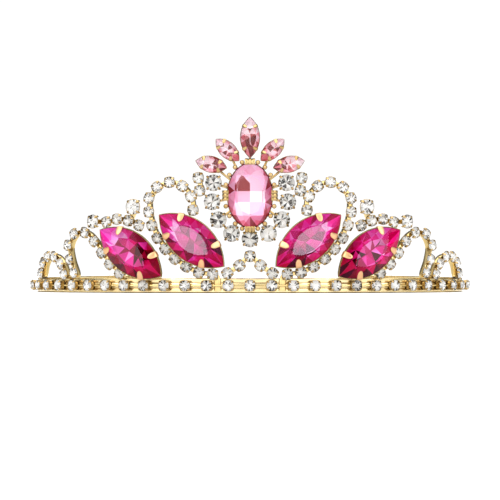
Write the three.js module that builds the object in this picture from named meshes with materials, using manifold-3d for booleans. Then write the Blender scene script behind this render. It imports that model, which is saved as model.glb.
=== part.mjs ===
// Crown headband: a gold-plated tiara set with clear, light pink and fuchsia stones.
// Millimetres, +Z up. The front faces -Y, the band lies on Z = 0, and X runs to the viewer's right.
// Places on the ornament are given on the band's outer face, rolled out flat: "arc" is the length
// along the band from the middle of the front, "height" is Z and "out" is the distance in front of the face.

import * as THREE from 'three';
import { mergeVertices } from 'three/addons/utils/BufferGeometryUtils.js';
import Module from 'manifold-3d';

const wasm = await Module();
wasm.setup();

const radians = THREE.MathUtils.degToRad;

// Band: half an ellipse round the front, and two arms on a longer ellipse that stop at the tips
const HALF_WIDTH = 66;
const FRONT_DEPTH = 46;
const REAR_DEPTH = 68;
const ARM_SWEEP = radians(61.5);
const STRIP_THICKNESS = 0.8;
const STRIP_HEIGHT = 4.3;
const STRIP_END_HEIGHT = 4.1;
const GROOVE_DEPTH = 0.25;
const GROOVE_HALF_WIDTH = 0.28;
const FRONT_STEPS = 15;
const ARM_STEPS = 8;

// Each arm ends in a round paddle that is curled outwards
const PADDLE_RADIUS = 3.1;
const CURL_RADIUS = 0.8;
const CURL_TURN = radians(180);
const CURL_STEPS = 5;
const PADDLE_RETURN = 2.4;
const PADDLE_SHARES = [0.5, 0.8, 1];

// Clear round stones in cups: deep cups joined by thin bars in the base row, and shallow cups that stand
// on a bent ribbon in the arches, which is as deep as the band is thick and reaches on out in front of it
const CLEARANCE = 0.3;
const CHAIN_STONE = 3.0;
const CUP_SIDES = 8;
const CUP_WALL = 0.1;
const CUP_DEPTH = 0.5;
const CUP_CROWN = 0.2;
const BASE_CUP_FOOT = 1.36;
const LINK_WIDTH = 0.5;
const LINK_THICKNESS = 0.6;
const LINK_OUT = 0.95;
const RIBBON_WIDTH = 1.4;
const RIBBON_BACK = -STRIP_THICKNESS;
const RIBBON_FRONT = 1.05;
const RIBBON_OVERLAP = 0.1;
const RIBBON_CUP_FOOT = 0.55;
const RIBBON_END_HEIGHT = STRIP_HEIGHT + CLEARANCE;
const LOW_STONE = 7;
const BASE_COUNT = 29;
const BASE_PITCH = 6.2;
const BASE_HEIGHT = 2.15;

// Runs of clear stones on one side of the front, spaced evenly along a curve through the rows
const SIDE_CHAINS = {
  end_loop: [
    {
      stones: 6,
      size: CHAIN_STONE,
      path: [
        { arc: 72.4, height: 5.5 },
        { arc: 70.6, height: 9.0 },
        { arc: 66.0, height: 11.0 },
        { arc: 61.6, height: 9.4 },
        { arc: 59.2, height: 5.4 },
      ],
    },
  ],
  outer_arch: [
    {
      stones: 9,
      size: CHAIN_STONE,
      path: [
        { arc: 55.0, height: 5.9 },
        { arc: 56.6, height: 9.3 },
        { arc: 57.6, height: 13.4 },
        { arc: 55.4, height: 17.0 },
        { arc: 51.4, height: 17.9 },
        { arc: 47.4, height: 15.3 },
        { arc: 42.8, height: 9.4 },
        { arc: 38.5, height: 5.7 },
      ],
    },
  ],
  outer_crest: [
    {
      stones: 4,
      size: CHAIN_STONE,
      path: [
        { arc: 42.9, height: 20.7 },
        { arc: 39.2, height: 21.5 },
        { arc: 35.6, height: 21.0 },
        { arc: 32.3, height: 19.6 },
      ],
    },
    { stones: 1, size: 3.7, path: [{ arc: 47.4, height: 20.9 }] },
    { stones: 1, size: 4.2, path: [{ arc: 33.9, height: 25.0 }] },
  ],
  inner_arch: [
    {
      stones: 14,
      size: CHAIN_STONE,
      path: [
        { arc: 16.2, height: 23.9 },
        { arc: 17.2, height: 28.7 },
        { arc: 21.2, height: 31.8 },
        { arc: 26.0, height: 31.2 },
        { arc: 29.3, height: 27.2 },
        { arc: 28.9, height: 21.8 },
        { arc: 26.6, height: 15.8 },
        { arc: 21.1, height: 9.6 },
        { arc: 14.4, height: 5.9 },
        { arc: 10.6, height: 5.4 },
      ],
    },
    {
      stones: 2,
      size: CHAIN_STONE,
      path: [
        { arc: 14.3, height: 29.5 },
        { arc: 14.7, height: 33.2 },
      ],
    },
  ],
};

const CENTRE_PEAK = [
  {
    stones: 5,
    size: CHAIN_STONE,
    path: [
      { arc: -6.4, height: 5.7 },
      { arc: -2.9, height: 8.0 },
      { arc: 0, height: 10.6 },
      { arc: 2.9, height: 8.0 },
      { arc: 6.4, height: 5.7 },
    ],
  },
];

// Boat-shaped stones: "lean" turns the long axis from upright towards the outer end of the side
const MARQUISES = {
  inner: { arc: 16.2, height: 15.1, lean: 52, length: 23.8, width: 11.5 },
  outer: { arc: 33.9, height: 11.6, lean: 55.5, length: 23.6, width: 11.7 },
};
const NAVETTES = {
  top: { arc: 0, height: 44.7, lean: 0, length: 11.7, width: 5.5 },
  upper: { arc: 6.3, height: 41.1, lean: 47, length: 9.0, width: 4.5 },
  lower: { arc: 10.9, height: 37.0, lean: 77, length: 9.2, width: 4.6 },
};

// Depths of a boat-shaped stone and its cup: "girdle" is how far out the stone is widest
const MARQUISE_CUT = { girdle: 4.1, crown: 1.7, pavilion: 2.6, wall: 0.35, lip: 0.9, prong: 1.4, steps: 5 };
const NAVETTE_CUT = { girdle: 2.6, crown: 1.0, pavilion: 1.5, wall: 0.25, lip: 0.6, prong: 0.8, steps: 4 };
const GIRDLE_HALF_THICKNESS = 0.2;
const TABLE_SHARE = 0.58;
const KEEL_SHARE = 0.16;
const CUP_FOOT_SHARE = 0.6;
const SEAT_GAP = 0.2;
const TIP_GAP = 0.3;

// Prongs stand on the wall of a cup and fold in over the crown of its stone
const PRONG_PLACE = 0.58;
const PRONG_THICKNESS = 0.45;
const PRONG_REACH = 1.1;
const PRONG_FOOT = 0.8;
const PRONG_SHOULDER = 0.6;

// Oval centre stone in its beaded bezel
const OVAL = {
  height: 28,
  halfWidth: 6.4,
  halfHeight: 9.1,
  girdle: 3.2,
  crown: 2.0,
  pavilion: 2.4,
  wall: 0.55,
};
const OVAL_SIDES = 16;
const BEZEL_FOOT = 0.8;
const BEZEL_RIM = 1.0;
const BEAD_RADIUS = 0.68;
const BEAD_LEAN = 0.25;
const BEADS_PER_QUADRANT = 4;
const BEAD_SIDES = 10;
const BEAD_RINGS = 3;
const TAB_WIDTH = 2.6;
const TAB_REACH = 0.7;
const TAB_FOOT = 0.6;

// Halo of larger clear stones round the sides and foot of the oval
const HALO = { count: 9, pitch: 5.5, halfWidth: 10.8, halfHeight: 12.4, size: 4.5, girdle: 2.3, wall: 0.2 };
const HALO_PAVILION = 1.5;
const HALO_CROWN = 0.8;
const HALO_FOOT = 0.75;
const HALO_SIDES = 10;
const HALO_LIP = 0.35;

// Bars behind the stones solder the halo cups and the boat cups to the bezel
const SOLDER_OUT = 0.6;
const SOLDER_WIDTH = 0.9;
const SOLDER_THICKNESS = 0.5;
const SOLDER_SHARE = 0.7;
const SOLDER_START = 1.2;

const GOLD = { color: 0xe2bf74, metalness: 1, roughness: 0.22 };
const CHAIN = { color: 0xeadfc4, metalness: 0.5, roughness: 0.15 };
const CRYSTAL = { color: 0xf1f4f6, metalness: 0, roughness: 0.05 };
const ROSE = { color: 0xf2a3c1, metalness: 0, roughness: 0.05 };
const FUCHSIA = { color: 0xd0117f, metalness: 0, roughness: 0.05 };

// Solids

const MERGE_DISTANCE = 1e-5;

function solid(geometry) {
  const bare = geometry.clone();
  bare.deleteAttribute('normal');
  bare.deleteAttribute('uv');
  const merged = mergeVertices(bare, MERGE_DISTANCE);
  const mesh = new wasm.Mesh({
    numProp: 3,
    vertProperties: new Float32Array(merged.attributes.position.array),
    triVerts: new Uint32Array(merged.index.array),
  });
  return new wasm.Manifold(mesh);
}

function fuse(solids) {
  return solids.reduce((whole, next) => whole.add(next));
}

function geometryOf(body) {
  const mesh = body.getMesh();
  const geometry = new THREE.BufferGeometry();
  const places = new Float32Array(mesh.vertProperties);
  const corners = new Uint32Array(mesh.triVerts);
  geometry.setAttribute('position', new THREE.BufferAttribute(places, 3));
  geometry.setIndex(new THREE.BufferAttribute(corners, 1));
  geometry.computeVertexNormals();
  return geometry;
}

const tiara = new THREE.Group();

function addPiece(name, body, finish) {
  const mesh = new THREE.Mesh(geometryOf(body), new THREE.MeshStandardMaterial(finish));
  mesh.name = name;
  tiara.add(mesh);
}

// A body through rings of like points, each ring running anticlockwise as seen from the last ring
function loft(rings, outline) {
  const count = outline.length;
  const last = (rings.length - 1) * count;
  const index = [];
  for (let ring = 0; ring < rings.length - 1; ring += 1) {
    for (let i = 0; i < count; i += 1) {
      const a = ring * count + i;
      const b = ring * count + ((i + 1) % count);
      index.push(a, b, b + count, a, b + count, a + count);
    }
  }
  for (const [a, b, c] of THREE.ShapeUtils.triangulateShape(outline, [])) {
    index.push(c, b, a, last + a, last + b, last + c);
  }
  const geometry = new THREE.BufferGeometry().setFromPoints(rings.flat());
  geometry.setIndex(index);
  return geometry;
}

// Rings of one flat outline, from rows of share and depth
function stackedRings(outline, rows) {
  return rows.map(([share, depth]) =>
    outline.map((point) => new THREE.Vector3(point.x * share, point.y * share, depth)));
}

// A turned body about its own outward axis, from rows of radius and depth
function turned(rows, sides) {
  const profile = rows.map(([radius, depth]) => new THREE.Vector2(radius, depth));
  return new THREE.LatheGeometry(profile, sides).rotateX(Math.PI / 2);
}

// Placing on the band

const frontCurve = new THREE.EllipseCurve(0, 0, HALF_WIDTH, FRONT_DEPTH, -Math.PI / 2, 0);
const frontLength = frontCurve.getLength();

function frontSeat(arc) {
  const place = frontCurve.getPointAt(Math.abs(arc) / frontLength);
  const normal = new THREE.Vector2(place.x / HALF_WIDTH ** 2, place.y / FRONT_DEPTH ** 2).normalize();
  const side = arc < 0 ? -1 : 1;
  return {
    place: new THREE.Vector3(place.x * side, place.y, 0),
    normal: new THREE.Vector3(normal.x * side, normal.y, 0),
  };
}

// Local x runs along the band, local y up and local z outwards, turned by "lean" about local z
function seat(arc, height, out, lean = 0) {
  const { place, normal } = frontSeat(arc);
  const along = new THREE.Vector3(-normal.y, normal.x, 0);
  const matrix = new THREE.Matrix4().makeBasis(along, new THREE.Vector3(0, 0, 1), normal);
  matrix.setPosition(place.addScaledVector(normal, out).setZ(height));
  return matrix.multiply(new THREE.Matrix4().makeRotationZ(lean));
}

function pointAt(arc, height, out) {
  return new THREE.Vector3().setFromMatrixPosition(seat(arc, height, out));
}

// Band strip with its curled tips

// Points of the section: x runs inwards from the outer face and y upwards
function stripSection(height) {
  const rib = height / 3;
  const rows = [[0, height]];
  for (const groove of [2 * rib, rib]) {
    rows.push([0, groove + GROOVE_HALF_WIDTH], [GROOVE_DEPTH, groove], [0, groove - GROOVE_HALF_WIDTH]);
  }
  rows.push([0, 0], [STRIP_THICKNESS, 0], [STRIP_THICKNESS, height]);
  return rows.map(([inwards, up]) => new THREE.Vector2(inwards, up));
}

// Stations along the right half, from the middle of the front to the end of the curl
function bandStations() {
  const stations = [];
  const addStation = (place, normal, middle, height) => {
    stations.push({ place, normal, middle, height });
  };
  const addEllipse = (angle, depth, middle, height) => {
    const x = HALF_WIDTH * Math.cos(angle);
    const y = depth * Math.sin(angle);
    const normal = new THREE.Vector2(x / HALF_WIDTH ** 2, y / depth ** 2).normalize();
    addStation(new THREE.Vector2(x, y), normal, middle, height);
  };
  for (let i = 0; i <= FRONT_STEPS; i += 1) {
    addEllipse(-Math.PI / 2 * (1 - i / FRONT_STEPS), FRONT_DEPTH, STRIP_HEIGHT / 2, STRIP_HEIGHT);
  }
  for (let i = 1; i <= ARM_STEPS; i += 1) {
    const share = i / ARM_STEPS;
    const middle = THREE.MathUtils.lerp(STRIP_HEIGHT / 2, PADDLE_RADIUS, share);
    const height = THREE.MathUtils.lerp(STRIP_HEIGHT, STRIP_END_HEIGHT, share);
    addEllipse(ARM_SWEEP * share, REAR_DEPTH, middle, height);
  }
  const armEnd = stations.at(-1);
  const across = armEnd.normal;
  const onward = new THREE.Vector2(-across.y, across.x);
  const centre = armEnd.place.clone().addScaledVector(across, CURL_RADIUS);
  const curlLength = CURL_TURN * CURL_RADIUS;
  const paddleHeight = (travelled) => {
    const half = Math.sqrt(Math.max(PADDLE_RADIUS ** 2 - (travelled - curlLength) ** 2, 0));
    return travelled < curlLength ? Math.max(2 * half, STRIP_END_HEIGHT) : 2 * half;
  };
  for (let i = 1; i <= CURL_STEPS; i += 1) {
    const turn = CURL_TURN * i / CURL_STEPS;
    const normal = across.clone().multiplyScalar(Math.cos(turn)).addScaledVector(onward, -Math.sin(turn));
    const place = centre.clone().addScaledVector(normal, -CURL_RADIUS);
    addStation(place, normal, PADDLE_RADIUS, paddleHeight(turn * CURL_RADIUS));
  }
  const curlEnd = stations.at(-1);
  for (const share of PADDLE_SHARES) {
    const run = PADDLE_RETURN * share;
    const place = curlEnd.place.clone().addScaledVector(onward, -run);
    addStation(place, curlEnd.normal, PADDLE_RADIUS, paddleHeight(curlLength + run));
  }
  return stations;
}

function bandBody() {
  const right = bandStations();
  const left = right.slice(1).reverse().map((station) => ({
    ...station,
    place: new THREE.Vector2(-station.place.x, station.place.y),
    normal: new THREE.Vector2(-station.normal.x, station.normal.y),
  }));
  const rings = [...left, ...right].map(({ place, normal, middle, height }) =>
    stripSection(height).map(({ x: inwards, y: up }) => {
      const point = place.clone().addScaledVector(normal, -inwards);
      return new THREE.Vector3(point.x, point.y, middle - height / 2 + up);
    }));
  return solid(loft(rings, stripSection(STRIP_HEIGHT)));
}

// Clear stones fused in their cups, and the bars or the ribbon that join them

function cupStone(size, foot, footRadius) {
  const rim = size / 2 + CUP_WALL;
  const depth = size * CUP_DEPTH;
  const rows = [[footRadius / rim, foot], [1, depth], [TABLE_SHARE, depth + size * CUP_CROWN]];
  const outline = [];
  for (let i = 0; i < CUP_SIDES; i += 1) {
    const angle = 2 * Math.PI * (i + 0.5) / CUP_SIDES;
    outline.push(new THREE.Vector2(rim * Math.cos(angle), rim * Math.sin(angle)));
  }
  return loft(stackedRings(outline, rows), outline);
}

function bar(from, to, outward, width, thickness) {
  const along = to.clone().sub(from);
  const length = along.length();
  along.normalize();
  const across = outward.clone().cross(along).normalize();
  const face = along.clone().cross(across);
  const matrix = new THREE.Matrix4().makeBasis(along, across, face);
  matrix.setPosition(from.clone().lerp(to, 0.5));
  return solid(new THREE.BoxGeometry(length, width, thickness).applyMatrix4(matrix));
}

// Each stone is turned so that flats of its cup face the stones beside it
function spacedStones({ stones, size, path }) {
  const rows = path.map(({ arc, height }) => new THREE.Vector2(arc, height));
  const places = stones > 1 ? new THREE.SplineCurve(rows).getSpacedPoints(stones - 1) : rows;
  return places.map((place, i) => {
    const before = places[Math.max(i - 1, 0)];
    const after = places[Math.min(i + 1, places.length - 1)];
    return { arc: place.x, height: place.y, size, turn: after.clone().sub(before).angle() };
  });
}

function linkBetween(a, b) {
  const outward = frontSeat((a.arc + b.arc) / 2).normal;
  const from = pointAt(a.arc, a.height, LINK_OUT);
  const to = pointAt(b.arc, b.height, LINK_OUT);
  return bar(from, to, outward, LINK_WIDTH, LINK_THICKNESS);
}

// A ribbon behind stones, with its width square to the line that they follow
function ribbonThrough(stones) {
  const corners = [[1, RIBBON_BACK], [1, RIBBON_FRONT], [-1, RIBBON_FRONT], [-1, RIBBON_BACK]];
  const rings = stones.map(({ arc, height }, i) => {
    const before = stones[Math.max(i - 1, 0)];
    const after = stones[Math.min(i + 1, stones.length - 1)];
    const along = new THREE.Vector2(after.arc - before.arc, after.height - before.height).normalize();
    const half = RIBBON_WIDTH / 2;
    return corners.map(([side, out]) =>
      pointAt(arc - side * half * along.y, height + side * half * along.x, out));
  });
  return solid(loft(rings, corners.map(([side, out]) => new THREE.Vector2(side, out))));
}

// A ribbon that ends at a low stone goes on down to the upper edge of the band
function withFeet(stones) {
  const line = [...stones];
  const [first, last] = [stones[0], stones.at(-1)];
  if (first.height < LOW_STONE) line.unshift({ ...first, height: RIBBON_END_HEIGHT });
  if (last.height < LOW_STONE) line.push({ ...last, height: RIBBON_END_HEIGHT });
  return line;
}

function distanceBetween(a, b) {
  return Math.hypot(a.arc - b.arc, a.height - b.height);
}

function placedStone(stone, foot, footRadius) {
  const matrix = seat(stone.arc, stone.height, CLEARANCE, stone.turn);
  return solid(cupStone(stone.size, foot, footRadius).applyMatrix4(matrix));
}

function baseChainBody(row) {
  const stones = spacedStones(row);
  const links = stones.slice(1).map((stone, i) => linkBetween(stones[i], stone));
  return fuse([...stones.map((stone) => placedStone(stone, 0, BASE_CUP_FOOT)), ...links]);
}

// The first run is an arch; the ribbon of each later run starts at the nearest stone already placed
function archBody(runs) {
  const foot = RIBBON_FRONT - RIBBON_OVERLAP - CLEARANCE;
  const placed = [];
  const ribbons = [];
  for (const run of runs) {
    const stones = spacedStones(run);
    const line = withFeet(stones);
    if (placed.length) {
      line.unshift(placed.reduce((best, stone) =>
        (distanceBetween(stone, stones[0]) < distanceBetween(best, stones[0]) ? stone : best)));
    }
    ribbons.push(ribbonThrough(line));
    placed.push(...stones);
  }
  return fuse([...ribbons, ...placed.map((stone) => placedStone(stone, foot, RIBBON_CUP_FOOT))]);
}

function mirrorRuns(runs, side) {
  return runs.map((run) => ({
    ...run,
    path: run.path.map(({ arc, height }) => ({ arc: arc * side, height })),
  }));
}

// Boat-shaped stones and their settings, with the long axis on local y

function boatOutline(length, width, steps) {
  const halfLength = length / 2;
  const halfWidth = width / 2;
  const radius = (halfLength ** 2 + halfWidth ** 2) / (2 * halfWidth);
  const reach = Math.asin(halfLength / radius);
  const points = [];
  for (const side of [1, -1]) {
    for (let i = 0; i < steps; i += 1) {
      const angle = reach * (2 * i / steps - 1);
      const bulge = radius * Math.cos(angle) - (radius - halfWidth);
      points.push(new THREE.Vector2(side * bulge, side * radius * Math.sin(angle)));
    }
  }
  return points;
}

// Rows are the share of the outline and the depth of each ring, from the back to the front
function boatLoft(length, width, steps, rows) {
  const outline = boatOutline(length, width, steps);
  return loft(stackedRings(outline, rows), outline);
}

function boatStone({ length, width }, { girdle, crown, pavilion, steps }) {
  return boatLoft(length, width, steps, [
    [KEEL_SHARE, girdle - pavilion],
    [1, girdle - GIRDLE_HALF_THICKNESS],
    [1, girdle + GIRDLE_HALF_THICKNESS],
    [TABLE_SHARE, girdle + crown],
  ]);
}

function boatCup({ length, width }, { girdle, wall, lip, steps }) {
  const outerLength = length + 2 * (wall + SEAT_GAP);
  const outerWidth = width + 2 * (wall + SEAT_GAP);
  return solid(boatLoft(outerLength, outerWidth, steps, [
    [CUP_FOOT_SHARE, CLEARANCE],
    [1, girdle - lip],
    [1, girdle],
  ]));
}

function boatHollow({ length, width }, { girdle, pavilion, steps }) {
  return solid(boatLoft(length + 2 * TIP_GAP, width + 2 * SEAT_GAP, steps, [
    [KEEL_SHARE, girdle - pavilion - SEAT_GAP],
    [1, girdle - GIRDLE_HALF_THICKNESS - SEAT_GAP],
    [1, girdle + GIRDLE_HALF_THICKNESS],
  ]));
}

// A tab that stands on the cup's wall and folds over the crown; local x points inwards from the girdle
function foldedProng(width, reach, rise, foot) {
  const outer = -SEAT_GAP - PRONG_THICKNESS;
  const shoulder = GIRDLE_HALF_THICKNESS + SEAT_GAP;
  const profile = new THREE.Shape([
    new THREE.Vector2(-SEAT_GAP, -foot),
    new THREE.Vector2(-SEAT_GAP, shoulder),
    new THREE.Vector2(reach, shoulder + rise),
    new THREE.Vector2(reach, shoulder + rise + PRONG_THICKNESS),
    new THREE.Vector2(outer, shoulder + PRONG_THICKNESS * PRONG_SHOULDER),
    new THREE.Vector2(outer, -foot),
  ]);
  const prong = new THREE.ExtrudeGeometry(profile, { depth: width, bevelEnabled: false });
  return prong.translate(0, 0, -width / 2).rotateX(Math.PI / 2);
}

function boatProngs({ length, width }, { girdle, crown, lip, prong }) {
  const halfWidth = width / 2;
  const radius = (length ** 2 / 4 + halfWidth ** 2) / width;
  const along = PRONG_PLACE * length / 2;
  const angle = Math.asin(along / radius);
  const edge = radius * Math.cos(angle) - (radius - halfWidth);
  const inset = (1 - TABLE_SHARE) * (edge * Math.cos(angle) + along * Math.sin(angle));
  const reach = prong * PRONG_REACH;
  const rise = reach * (crown - GIRDLE_HALF_THICKNESS) / inset;
  const prongs = [];
  for (const side of [1, -1]) {
    for (const end of [1, -1]) {
      const inwards = Math.atan2(-end * Math.sin(angle), -side * Math.cos(angle));
      const shape = foldedProng(prong, reach, rise, lip * PRONG_FOOT).rotateZ(inwards);
      prongs.push(solid(shape.translate(side * edge, end * along, girdle)));
    }
  }
  return prongs;
}

// Oval centre: stone, beaded bezel and ridged tabs

function ovalRing(rows, extra) {
  const ring = turned(rows, OVAL_SIDES);
  return ring.scale(OVAL.halfWidth + extra, OVAL.halfHeight + extra, 1);
}

function ovalStone() {
  return ovalRing([
    [0, OVAL.girdle - OVAL.pavilion],
    [1, OVAL.girdle - GIRDLE_HALF_THICKNESS],
    [1, OVAL.girdle + GIRDLE_HALF_THICKNESS],
    [TABLE_SHARE, OVAL.girdle + OVAL.crown],
    [0, OVAL.girdle + OVAL.crown],
  ], 0);
}

function ovalBezel() {
  const rim = SEAT_GAP + OVAL.wall;
  const beadLine = rim + BEAD_LEAN;
  const wall = ovalRing([
    [0, CLEARANCE],
    [BEZEL_FOOT, CLEARANCE],
    [1, OVAL.girdle - BEZEL_RIM],
    [1, OVAL.girdle],
    [0, OVAL.girdle],
  ], rim);
  const solids = [solid(wall)];
  const stops = 4 * (BEADS_PER_QUADRANT + 1);
  for (let stop = 0; stop < stops; stop += 1) {
    if (stop % (BEADS_PER_QUADRANT + 1) === 0) continue;
    const angle = 2 * Math.PI * stop / stops;
    const bead = new THREE.SphereGeometry(BEAD_RADIUS, BEAD_SIDES, BEAD_RINGS).rotateX(Math.PI / 2);
    const x = (OVAL.halfWidth + beadLine) * Math.cos(angle);
    const y = (OVAL.halfHeight + beadLine) * Math.sin(angle);
    solids.push(solid(bead.translate(x, y, OVAL.girdle)));
  }
  return solids;
}

function ovalHollow() {
  return solid(ovalRing([
    [0, OVAL.girdle - OVAL.pavilion - SEAT_GAP],
    [1, OVAL.girdle - GIRDLE_HALF_THICKNESS - SEAT_GAP],
    [1, OVAL.girdle + OVAL.crown],
    [0, OVAL.girdle + OVAL.crown],
  ], SEAT_GAP));
}

function ovalTabs() {
  const edges = [[OVAL.halfWidth, 0], [0, OVAL.halfHeight], [-OVAL.halfWidth, 0], [0, -OVAL.halfHeight]];
  return edges.map(([x, y]) => {
    const inset = (1 - TABLE_SHARE) * Math.hypot(x, y);
    const rise = TAB_REACH * (OVAL.crown - GIRDLE_HALF_THICKNESS) / inset;
    const tab = foldedProng(TAB_WIDTH, TAB_REACH, rise, TAB_FOOT).rotateZ(Math.atan2(-y, -x));
    return solid(tab.translate(x, y, OVAL.girdle));
  });
}

// Halo places, evenly spaced both ways from the foot of an ellipse round the oval
function haloPlaces() {
  const { halfWidth, halfHeight } = HALO;
  const curve = new THREE.EllipseCurve(0, OVAL.height, halfWidth, halfHeight, -Math.PI / 2, Math.PI / 2);
  const half = (HALO.count - 1) / 2;
  const places = [];
  for (let i = -half; i <= half; i += 1) {
    const place = curve.getPointAt(Math.abs(i) * HALO.pitch / curve.getLength());
    places.push({ arc: Math.sign(i) * place.x, height: place.y });
  }
  return places;
}

function haloStone() {
  const radius = HALO.size / 2;
  return turned([
    [0, HALO.girdle - HALO_PAVILION],
    [radius, HALO.girdle],
    [radius * TABLE_SHARE, HALO.girdle + HALO_CROWN],
    [0, HALO.girdle + HALO_CROWN],
  ], HALO_SIDES);
}

// The cup's rim is turned in over the girdle of its stone
function haloCup() {
  const inner = HALO.size / 2 + SEAT_GAP;
  const outer = inner + HALO.wall;
  return turned([
    [0, CLEARANCE],
    [outer * HALO_FOOT, CLEARANCE],
    [outer, HALO.girdle],
    [inner - HALO_LIP / 2, HALO.girdle + HALO_LIP],
    [inner, HALO.girdle],
    [0, HALO.girdle - HALO_PAVILION - SEAT_GAP],
  ], HALO_SIDES);
}

// A bar from a cup's foot to the bezel's foot, in the direction of the middle of the oval
function solderBar(arc, height, start) {
  const centre = new THREE.Vector2(0, OVAL.height);
  const cup = new THREE.Vector2(arc, height);
  const inwards = centre.clone().sub(cup).normalize();
  const bearing = Math.atan2(-inwards.y / OVAL.halfHeight, -inwards.x / OVAL.halfWidth);
  const foot = cup.addScaledVector(inwards, start);
  const from = pointAt(foot.x, foot.y, SOLDER_OUT);
  const endArc = SOLDER_SHARE * OVAL.halfWidth * Math.cos(bearing);
  const endHeight = OVAL.height + SOLDER_SHARE * OVAL.halfHeight * Math.sin(bearing);
  const to = pointAt(endArc, endHeight, SOLDER_OUT);
  return bar(from, to, frontSeat(arc / 2).normal, SOLDER_WIDTH, SOLDER_THICKNESS);
}

// Assembly

function placedAt(body, matrix) {
  return body.transform(matrix.elements);
}

function boatSeat({ arc, height, lean }, side) {
  return seat(side * arc, height, 0, -side * radians(lean));
}

addPiece('band', bandBody(), GOLD);

const baseReach = BASE_PITCH * (BASE_COUNT - 1) / 2;
const baseRow = {
  stones: BASE_COUNT,
  size: CHAIN_STONE,
  path: [{ arc: -baseReach, height: BASE_HEIGHT }, { arc: baseReach, height: BASE_HEIGHT }],
};
addPiece('base_chain', baseChainBody(baseRow), CHAIN);
addPiece('centre_peak', archBody(CENTRE_PEAK), CHAIN);

const SIDES = { left: -1, right: 1 };
// The centre's hollows are cut out of its cups before the rest of its metal is joined on
const centreCups = [];
const centreHollows = [];
const centreJoined = [];

for (const [sideName, side] of Object.entries(SIDES)) {
  for (const [chainName, runs] of Object.entries(SIDE_CHAINS)) {
    addPiece(`${sideName}_${chainName}`, archBody(mirrorRuns(runs, side)), CHAIN);
  }
  for (const [boatName, boat] of Object.entries(MARQUISES)) {
    const matrix = boatSeat(boat, side);
    const cup = boatCup(boat, MARQUISE_CUT).subtract(boatHollow(boat, MARQUISE_CUT));
    const setting = fuse([cup, ...boatProngs(boat, MARQUISE_CUT)]);
    const stone = solid(boatStone(boat, MARQUISE_CUT));
    addPiece(`${sideName}_${boatName}_setting`, placedAt(setting, matrix), GOLD);
    addPiece(`${sideName}_${boatName}_marquise`, placedAt(stone, matrix), FUCHSIA);
  }
}

for (const [boatName, boat] of Object.entries(NAVETTES)) {
  for (const [sideName, side] of Object.entries(boat.arc ? SIDES : { middle: 1 })) {
    const matrix = boatSeat(boat, side);
    centreCups.push(placedAt(boatCup(boat, NAVETTE_CUT), matrix));
    centreHollows.push(placedAt(boatHollow(boat, NAVETTE_CUT), matrix));
    centreJoined.push(...boatProngs(boat, NAVETTE_CUT).map((prong) => placedAt(prong, matrix)));
    centreJoined.push(solderBar(side * boat.arc, boat.height, 0));
    const stone = solid(boatStone(boat, NAVETTE_CUT));
    addPiece(`${sideName}_${boatName}_navette`, placedAt(stone, matrix), ROSE);
  }
}

haloPlaces().forEach(({ arc, height }, i) => {
  const matrix = seat(arc, height, 0);
  centreJoined.push(placedAt(solid(haloCup()), matrix), solderBar(arc, height, SOLDER_START));
  addPiece(`halo_stone_${i + 1}`, placedAt(solid(haloStone()), matrix), CRYSTAL);
});

const ovalPlace = seat(0, OVAL.height, 0);
addPiece('oval_stone', placedAt(solid(ovalStone()), ovalPlace), ROSE);
centreCups.push(...ovalBezel().map((body) => placedAt(body, ovalPlace)));
centreHollows.push(placedAt(ovalHollow(), ovalPlace));
centreJoined.push(...ovalTabs().map((body) => placedAt(body, ovalPlace)));

const centreBody = fuse([fuse(centreCups).subtract(fuse(centreHollows)), ...centreJoined]);
addPiece('centre_setting', centreBody, GOLD);

// The origin is under the middle of the whole tiara, on the surface that it rests on
const extent = new THREE.Box3().setFromObject(tiara);
const middle = extent.getCenter(new THREE.Vector3());
tiara.position.set(-middle.x, -middle.y, -extent.min.z);

export default tiara;
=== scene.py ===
# Crown headband: the looks of every piece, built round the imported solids.
# Lengths are in millimetres and become metres when a piece is made. +Z is up and the front faces -Y.
# Places on the ornament are given on the band's outer face, rolled out flat: "arc" is the length along
# the band from the middle of the front, "height" is Z and "out" is the distance in front of the face.

import math
import random

import bpy
import numpy as np
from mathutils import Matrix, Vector


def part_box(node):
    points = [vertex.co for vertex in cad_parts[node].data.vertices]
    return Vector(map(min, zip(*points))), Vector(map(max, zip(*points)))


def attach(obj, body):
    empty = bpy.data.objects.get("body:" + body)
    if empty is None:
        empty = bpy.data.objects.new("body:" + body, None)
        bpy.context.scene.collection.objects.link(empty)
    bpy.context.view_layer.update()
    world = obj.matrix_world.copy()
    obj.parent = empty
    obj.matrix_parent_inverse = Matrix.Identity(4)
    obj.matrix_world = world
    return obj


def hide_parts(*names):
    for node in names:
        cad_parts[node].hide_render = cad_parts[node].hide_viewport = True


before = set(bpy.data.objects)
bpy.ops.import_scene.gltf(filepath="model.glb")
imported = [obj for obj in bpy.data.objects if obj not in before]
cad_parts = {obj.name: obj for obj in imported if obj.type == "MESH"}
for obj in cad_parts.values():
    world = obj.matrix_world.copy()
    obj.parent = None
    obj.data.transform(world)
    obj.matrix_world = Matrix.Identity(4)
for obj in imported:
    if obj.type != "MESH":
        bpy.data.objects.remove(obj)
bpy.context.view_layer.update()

MM = 0.001

# Seeds of the facets' shades: the chains, each marquise, and all stones of the centre
DRAWS = {"chains": 11, "left_inner": 12, "right_inner": 12, "left_outer": 7, "right_outer": 9, "centre": 4}
random.seed(DRAWS["chains"])

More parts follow.
